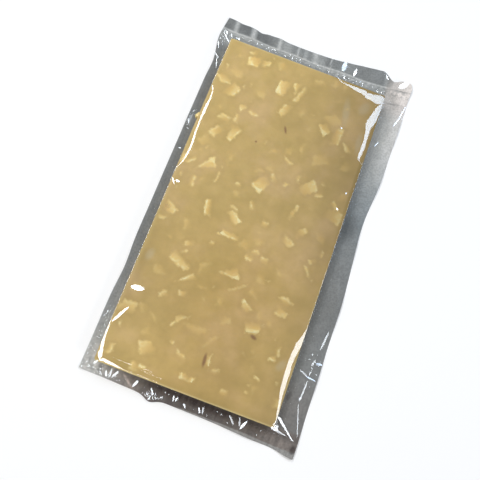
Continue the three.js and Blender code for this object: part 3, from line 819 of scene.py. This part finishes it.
def shade_field(x, y):
    """How far the light falls off over the bar, from its upper left to its lower right."""
    shade = 0.31 + 0.22 * x / RIGHT - 0.09 * y / TOP + ripple(x, y, 8, 40, 0.03)
    shade += 0.19 * smooth((x - 22) / 14)
    shade += 0.24 * smooth((x - 10) / 12) * smooth((y - 14) / 16)
    shade -= 0.22 * smooth((x - 12) / 16) * smooth((-5 - y) / 45)
    shade += 0.17 * hump(x + 36, 22) * hump(y + 40, 20) + 0.16 * hump(x - LEFT - 2.6, 1.6) * hump(y + 32, 24)
    shade -= 0.12 * hump(x - 1, 14) * hump(y + 8, 16)
    shade -= 0.14 * smooth((-54 - y) / 14) * smooth((10 - x) / 20)
    shade -= 0.1 * smooth((y - 50) / 20) * smooth((8 - x) / 12)
    shade += 0.08 * smooth((-24 - x) / 10) * smooth((25 - y) / 20) + 0.1 * hump(x - 34, 7) * hump(y - 4, 12)
    return np.clip(shade, 0, 1)


def rim_fields(x, y):
    """The bar's edge: a painted highlight at the left and bottom, and a painted ochre shade at the right and
    upper right.
    """
    inside_left = x - LEFT
    inside_right = RIGHT - x
    inside_top = TOP - y
    inside_bottom = y - BOTTOM
    pale = 0.3 * hump(inside_left, 0.8) + 0.85 * hump(inside_bottom, 0.5)
    pale = np.maximum(pale, 0.45 * hump(inside_top, 0.6) * smooth((12 - x) / 10))
    dark = (0.12 + 0.42 * smooth((y + 10) / 40)) * smooth((1.9 - inside_right) / 0.8)
    pale = np.maximum(pale, 0.5 * hump(inside_right, 0.6) * smooth((-5 - y) / 25))
    dark = np.maximum(dark, 0.4 * smooth((1.9 - inside_top) / 0.8) * smooth((x - 6) / 20))
    dark = np.maximum(dark, 0.3 * smooth(1 - inside_bottom / 5))
    return np.clip(pale, 0, 1), np.clip(dark * (1 - pale), 0, 1)


def chocolate_slab():
    """The slab: a fine flat top that carries the nuts' colours, rounded edges, and sides that taper down."""
    half = np.array([RIGHT, TOP]) - BAR_ROUND
    across = np.linspace(-half[0], half[0], round(2 * half[0] / BAR_STEP) + 1)
    along = np.linspace(-half[1], half[1], round(2 * half[1] / BAR_STEP) + 1)
    x, y = rounded_corners(*np.meshgrid(across, along, indexing="ij"))
    body, edge, nut_shade = nut_fields(x, y)
    height = SURFACE + ripple(x, y, 3, 14, 0.03) + 0.04 * body
    rim = rim_of(*x.shape)
    rim_places = np.stack([x.ravel()[rim], y.ravel()[rim]], axis=1)
    skirt_x, skirt_y, skirt_z = skirt(rim_places, half)
    all_x = np.append(x, skirt_x)
    all_y = np.append(y, skirt_y)
    faces = grid_faces(*x.shape) + skirt_faces(rim, x.size, len(skirt_x) // len(rim))
    # pale is a painted highlight along the bar's edge, dark a painted shade along it
    pale, dark = rim_fields(all_x, all_y)
    tail = np.zeros(len(skirt_x))
    fields = {
        "nut_body": np.append(body, tail),
        "nut_edge_and_highlight": np.append(edge, tail),
        "nut_shade": np.append(nut_shade, tail) * NUT_SHADE_SHARE,
        "ochre": hump(all_x - 6, 32) * smooth((12 - all_y) / 50),
        "skin": np.maximum.reduce([patch(all_x, all_y, skin, 0.9) for skin in SKINS]) * SKIN_SHARE,
        "pale_smear": np.maximum.reduce([patch(all_x, all_y, pale_smear, 1.2) for pale_smear in PALE_SMEARS]) * PALE_SMEAR_SHARE,
        "rim_painted_highlight": pale,
        "rim_painted_shade": dark,
        "shade": shade_field(all_x, all_y),
    }
    vertices = place(all_x, all_y, np.append(height, skirt_z))
    new_piece("chocolate_slab", vertices, faces, chocolate_material(), fields)


def rounded_corners(x, y):
    """The square corners of a grid, drawn in to round ones."""
    inner_x = np.clip(x, LEFT + BAR_CORNER, RIGHT - BAR_CORNER)
    inner_y = np.clip(y, BOTTOM + BAR_CORNER, TOP - BAR_CORNER)
    over_x = x - inner_x
    over_y = y - inner_y
    reach = np.maximum(np.abs(over_x), np.abs(over_y))
    scale = reach / np.maximum(np.hypot(over_x, over_y), 1e-9)
    return inner_x + over_x * scale, inner_y + over_y * scale


def rim_of(columns, rows):
    """Vertex numbers round the border of a grid, anticlockwise from above."""
    corner = np.arange(columns * rows).reshape(columns, rows)
    return np.concatenate([corner[:-1, 0], corner[-1, :-1], corner[:0:-1, -1], corner[0, :0:-1]])


def skirt(rim_places, half):
    """Rings below the rim: round the edge, then down the tapering sides to the base."""
    corner = BAR_CORNER - BAR_ROUND
    pivot = np.clip(rim_places, -(half - corner), half - corner)
    outward = (rim_places - pivot) / np.linalg.norm(rim_places - pivot, axis=1, keepdims=True)
    bend = [(BAR_ROUND * math.sin(a), BAR_ROUND * (1 - math.cos(a))) for a in np.radians([25, 50, 70, 90])]
    rings = bend + [
        (BAR_ROUND - BAR_TAPER / 2, BAR_THICKNESS / 2),
        (BAR_ROUND - BAR_TAPER, BAR_THICKNESS - BAR_BASE - BASE_BEVEL),
        (BAR_ROUND - BAR_TAPER - BASE_BEVEL, BAR_THICKNESS - BAR_BASE),
    ]
    places = [pivot + outward * (corner + out) for out, _ in rings]
    heights = [np.full(len(rim_places), SURFACE - drop) for _, drop in rings]
    x, y = np.concatenate(places).T
    return x, y, np.concatenate(heights)


def skirt_faces(rim, first, rings):
    """Faces from the rim down through the rings, and the base."""
    around = len(rim)
    following = np.roll(np.arange(around), -1)
    faces = []
    upper = rim
    for ring in range(rings):
        lower = first + ring * around + np.arange(around)
        faces += np.stack([lower, lower[following], upper[following], upper], axis=1).tolist()
        upper = lower
    return faces + [upper[::-1].tolist()]


def nut_chips():
    """Cut nuts at the surface, whose open sides stand just out of the chocolate."""
    points = []
    faces = []
    bright = []
    draw = np.random.default_rng(FIRST_SEED + 2)
    for nut in PLACED_NUTS:
        if nut["shows"] == 3:
            add_chip(nut, draw, points, faces, bright)
    x, y, z = np.array(points).T
    fields = {"bright": np.array(bright), "shade": shade_field(x, y)}
    new_piece("nut_chips", place(x, y, z), faces, nut_material(), fields)


def add_chip(nut, draw, points, faces, bright):
    """One chip: blunt corners, sides that go down into the chocolate, and a face that rises to one side."""
    outline = nut["outline"]
    ends = np.roll(outline, -1, axis=0)
    ring = np.concatenate([outline + (ends - outline) * part / CHIP_PARTS for part in range(CHIP_PARTS)])
    ring = ring.reshape(CHIP_PARTS, len(outline), 2).transpose(1, 0, 2).reshape(-1, 2)
    ring = ring + draw.uniform(-CHIP_JITTER, CHIP_JITTER, ring.shape)
    ring = 0.5 * ring + 0.25 * (np.roll(ring, 1, axis=0) + np.roll(ring, -1, axis=0))
    centre = ring.mean(axis=0)
    reach = np.linalg.norm(ring - centre, axis=1, keepdims=True)
    first = len(points)
    for inset, rise in CHIP_LAYERS:
        places = centre + (ring - centre) * np.maximum(1 - inset / reach, 0.25)
        glow = glow_of(nut, *places.T)
        height = SURFACE + rise - CHIP_SUNK + CHIP_TILT * glow
        points.extend(np.column_stack([places, height]).tolist())
        bright.extend((glow * draw.uniform(0.75, 1, len(ring))).tolist())
    around = len(ring)
    last = len(points) - around
    for low in range(first, last, around):
        for side in range(around):
            following = (side + 1) % around
            faces.append([low + side, low + following, low + around + following, low + around + side])
    faces.append([last + side for side in range(around)])
    faces.append([first + side for side in reversed(range(around))])


def front_film():
    """The clear film over bar and flange, on a grid that is fine at the bar's edges and in the flange."""
    across = np.concatenate([
        folded_lines(LEFT, -LEFT_SHOULDER, -LEFT_REACH),
        lines(LEFT + 0.1, *ACROSS),
        folded_lines(RIGHT, RIGHT_SHOULDER, RIGHT_REACH),
    ])
    along = np.concatenate([
        folded_lines(BOTTOM, -BOTTOM_SHOULDER, -BOTTOM_REACH),
        lines(BOTTOM + 0.12, *ALONG),
        folded_lines(TOP, TOP_SHOULDER, TOP_REACH),
    ])
    plain_x, plain_y = np.meshgrid(across, along, indexing="ij")
    x, y = bent(plain_x, plain_y)
    vertices = place(x, y, film_height(x, y, plain_x, plain_y))
    shoulder = np.array([0, 0.05, LAST_FOLD, LAST_FOLD + 0.03])
    gloss = np.interp(down_shoulder(plain_x, plain_y), shoulder, [1, SHOULDER_GLOSS, SHOULDER_GLOSS, 1])
    gloss *= 1 - (1 - BAND_GLOSS) * smooth((plain_y - TOP - 1) / 2)
    inside = np.minimum(RIGHT - np.abs(plain_x), TOP - np.abs(plain_y))
    gloss *= np.where(inside >= 0, smooth(inside / EDGE_FADE), 1)
    fields = {"gloss": gloss.ravel()}
    film = new_piece("front_film", vertices, grid_faces(*x.shape), film_material(), fields)
    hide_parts(NODE)


def folded_lines(edge, shoulder, end):
    """Grid lines from the bar's edge to the pouch's, close together on both sides of each fold."""
    step = math.copysign(FLANGE_STEP, shoulder)
    half = math.copysign(FOLD_HALF, shoulder)
    stops = []
    for share in (FIRST_FOLD, LAST_FOLD):
        fold = edge + share * shoulder
        stops += [fold - half, fold, fold + half]
    return np.sort(lines(edge, *[(stop, step) for stop in [*stops, end]]))


def film_creases():
    """Creases and fine crinkles of the film, each a sharp little ridge with one side that mirrors a lamp."""
    points = []
    faces = []
    glosses = []
    for at_x, at_y, length, width, turn in CREASES + strewn_crinkles():
        count = max(FEWEST_PLACES, round(length / CREASE_STEP) + 1)
        along = np.linspace(-length / 2, length / 2, count)
        turn_x = math.cos(math.radians(turn))
        turn_y = math.sin(math.radians(turn))
        x = at_x + along * turn_x
        y = at_y + along * turn_y
        half = width / 2 * np.sin(np.pi * np.linspace(0.02, 0.98, count)) ** 0.6
        sides = [(x - side * turn_y, y + side * turn_x) for side in (-half, 0, half)]
        film = np.maximum.reduce([film_height(*side, *side) for side in sides])
        climb = np.clip((film[-1] - film[0]) / length, -STEEPEST_CREASE, STEEPEST_CREASE)
        line = np.stack([x, y, climb * along + max(film - climb * along)], axis=1)
        add_crease(line, half, points, faces, glosses)
    for start, end, first_width, last_width in CORNER_FOLDS:
        share = np.linspace(0, 1, FOLD_PLACES)
        line = np.outer(1 - share, start) + np.outer(share, end)
        half = (first_width + (last_width - first_width) * share) / 2
        half = half * smooth(share / 0.1 + 0.2) * smooth((1 - share) / 0.1 + 0.2)
        add_crease(line, half, points, faces, glosses)
    x, y, z = np.array(points).T
    fields = {"gloss": np.array(glosses)}
    new_piece("film_creases", place(x, y, z), faces, film_material(), fields, flat=True)


def add_crease(line, half, points, faces, glosses):
    """One ridge along a line: it rises evenly from one side to the other, and drops sharply there."""
    span = line[-1] - line[0]
    length = math.hypot(span[0], span[1])
    along = span[:2] / length
    across = np.array([-along[1], along[0]])
    slope, gloss = bright_slope(line[len(line) // 2], along, across, span[2] / length)
    side = math.copysign(1, slope)
    offsets = [-half, half / -3, half / 3, half]
    rows = [(offset, CREASE_GAP + slope * (offset + side * max(half))) for offset in offsets]
    foot = (side * (half + CREASE_FOOT), np.zeros_like(half))
    rows = [*rows, foot] if side > 0 else [foot, *rows]
    first = len(points)
    for column, spot in enumerate(line):
        for offset, rise in rows:
            shift = across * offset[column]
            points.append([spot[0] + shift[0], spot[1] + shift[1], spot[2] + rise[column]])
            glosses.append(gloss)
    strip = np.array(grid_faces(len(line), len(rows))) + first
    faces.extend(strip.tolist())


def on_pouch(x, y, margin):
    """Whether a place in the flange lies inside the pouch's edge by a margin."""
    inside_left = x + LEFT_REACH + bulge(LEFT_EDGE, y) > margin
    inside_right = RIGHT_REACH + bulge(RIGHT_EDGE, y) - x > margin
    return inside_left and inside_right and y + BOTTOM_REACH + bulge(BOTTOM_EDGE, x) > margin


def strewn_crinkles():
    """Fine crinkles over the stretches that have them, by seeded draws."""
    draw = np.random.default_rng(FIRST_SEED + 4)
    crinkles = []
    for left, right, low, high, count, longest in CRINKLED:
        for _ in range(count):
            x = draw.uniform(left, right)
            y = draw.uniform(low, high)
            length = longest * draw.uniform(0.4, 1)
            width = 0.12 + length * draw.uniform(0.06, 0.18)
            turn = draw.uniform(20, 160)
            if on_pouch(x, y, 0.3 + length / 2):
                crinkles.append((x, y, length, width, turn))
    return crinkles


def tone_along(tones, along):
    at, tone = np.array(tones).T
    return np.interp(along, at, tone)


def back_fields(x, y):
    """How light, cool and warm the back film is painted at each place: painted reflections, and painted
    shadow below and beside the bar.
    """
    on_right = smooth((x - RIGHT + 2) / 3)
    tone = tone_along(LEFT_TONES, y) * (1 - on_right) + tone_along(RIGHT_TONES, y) * on_right
    outer = on_right * smooth((x - 42) / 6)
    tone += outer * (0.05 * smooth((y + 10) / 25) + 0.08 * smooth((y - 20) / 40))
    from_seal = y - TOP_SEAL - tone_along(SEAL_BENDS, x)
    under_seal = smooth((y - TOP + 2) / 3) * (1 - on_right)
    tone = tone + (UNDER_SEAL_TONE - tone) * under_seal
    band = tone_along(BAND_TONES, x)
    leaning = x + 0.12 * (y - 90)
    band += sum(more * smooth(1.2 - 0.7 * np.abs(leaning - at) / half) for at, half, more in TOP_PATCHES)
    in_band = smooth(from_seal / 0.5)
    tone = tone * (1 - in_band) + band * in_band
    seal = np.maximum(hump(from_seal, 0.45), 0.5 * hump(from_seal + TOP_SEAL_GAP, 0.3))
    tone = tone + (SEAL_TONE - tone) * seal
    below = smooth((BOTTOM + 2.5 - y) / 1.2)
    # A painted shadow of the bar, just under its bottom edge
    shadow_under_bar = 0.14 * hump(y - BOTTOM + 0.4, 1.6) * smooth((x + 26) / 16)
    tone = tone * (1 - below) + (tone_along(BOTTOM_TONES, x) - shadow_under_bar) * below
    strip = smooth((BOTTOM_SEAL - 0.9 * smooth((x - 18) / 30) - y) * 3) * smooth((x + 4) / 6)
    tone = tone * (1 - strip) + STRIP_TONE * strip
    tone = tone + sum(mark[5] * patch(x, y, mark[:5], 0.8) for mark in TONE_MARKS)
    # Painted glints: light speckles at the lower left corner and under the top seal
    speckle_glints = hump(np.hypot(x + LEFT_REACH, y + BOTTOM_REACH), 26)
    speckle_glints += 0.8 * hump(from_seal + 1.8, 1.6) * (1 + smooth((x - 4) / 10))
    tone = tone + 0.09 * speckle_glints * grain(x, y, 7, 0.7) + 0.025 * grain(x, y, 9, 2.5)
    tone = tone + 0.07 * below * grain(x, y * 0.3, 10, 0.9)
    # Warm and cool tints are painted reflections: warm below the bar and at the upper right, cool down the
    # right flange
    warm = np.maximum(on_right * 0.35 * smooth((y - 70) / 12), below * smooth((x + 40) / 24))
    warm = np.maximum(warm, on_right * 0.4 * smooth((-50 - y) / 20)) * (1 - 0.7 * strip)
    cool = on_right * hump(y - 20, 22) * (1 - warm) + 0.2 * (1 - on_right) * smooth((y - 52) / 15)
    return {"tone": np.clip(tone, 0, 1).ravel(), "warm": warm.ravel(), "cool": np.clip(cool, 0, 1).ravel()}


def back_film():
    across = lines(-LEFT_REACH, (LEFT + 1, 0.4), (RIGHT - 1, 0.6), (RIGHT_REACH, 0.4))
    along = lines(-BOTTOM_REACH, (BOTTOM + 1, 0.3), (TOP - 1, 1.2), (TOP_REACH, 0.35))
    x, y = bent(*np.meshgrid(across, along, indexing="ij"))
    vertices = place(x, y, lift(x, y) + BACKING_HEIGHT)
    fields = back_fields(x, y)
    new_piece("back_film", vertices, grid_faces(*x.shape), backing_material(), fields)


# Stage


def make_floor():
    size = 4.0
    corners = [(-size, -size, 0), (size, -size, 0), (size, size, 0), (-size, size, 0)]
    mesh = bpy.data.meshes.new("floor")
    mesh.from_pydata(corners, [], [[0, 1, 2, 3]])
    mesh.materials.append(floor_material())
    floor = add_object("floor", mesh)


def in_frame(x, y, z):
    """One place, measured from the middle of the bar, in the frame and in metres."""
    return Vector((x + MIDDLE[0], y + MIDDLE[1], z)) * MM


def add_lamp(name, left, right, near, far, brightness):
    """A soft box that shines straight down."""
    data = bpy.data.lights.new(name, "AREA")
    data.shape = "RECTANGLE"
    data.size = (right - left) * MM
    data.size_y = (far - near) * MM
    data.energy = brightness * math.pi * data.size * data.size_y
    lamp = add_object(name, data)
    lamp.location = in_frame((left + right) / 2, (near + far) / 2, LAMP_HEIGHT)
    return data


def make_lights():
    for number, lamp in enumerate(WHITE_LAMPS + COOL_LAMPS):
        light = add_lamp(f"lamp_{number}", *lamp)
        if lamp in COOL_LAMPS:
            light.color = COOL_TINT
    world = bpy.data.worlds.new("studio")
    world.use_nodes = True
    background = world.node_tree.nodes["Background"]
    background.inputs["Color"].default_value = (1, 1, 1, 1)
    background.inputs["Strength"].default_value = ROOM_LIGHT
    bpy.context.scene.world = world
    bpy.context.scene.view_settings.view_transform = "Standard"


def make_camera():
    data = bpy.data.cameras.new("camera")
    data.lens = CAMERA_LENS
    data.sensor_width = CAMERA_SENSOR
    data.clip_start = 0.01
    camera = add_object("camera", data)
    turn = Matrix((CAMERA_RIGHT, CAMERA_UP, CAMERA_BACK)).transposed().to_4x4()
    camera.matrix_world = Matrix.Translation(in_frame(*CAMERA_PLACE)) @ turn
    bpy.context.scene.camera = camera


make_camera()
make_floor()
make_lights()
chocolate_slab()
nut_chips()
back_film()
front_film()
film_creases()
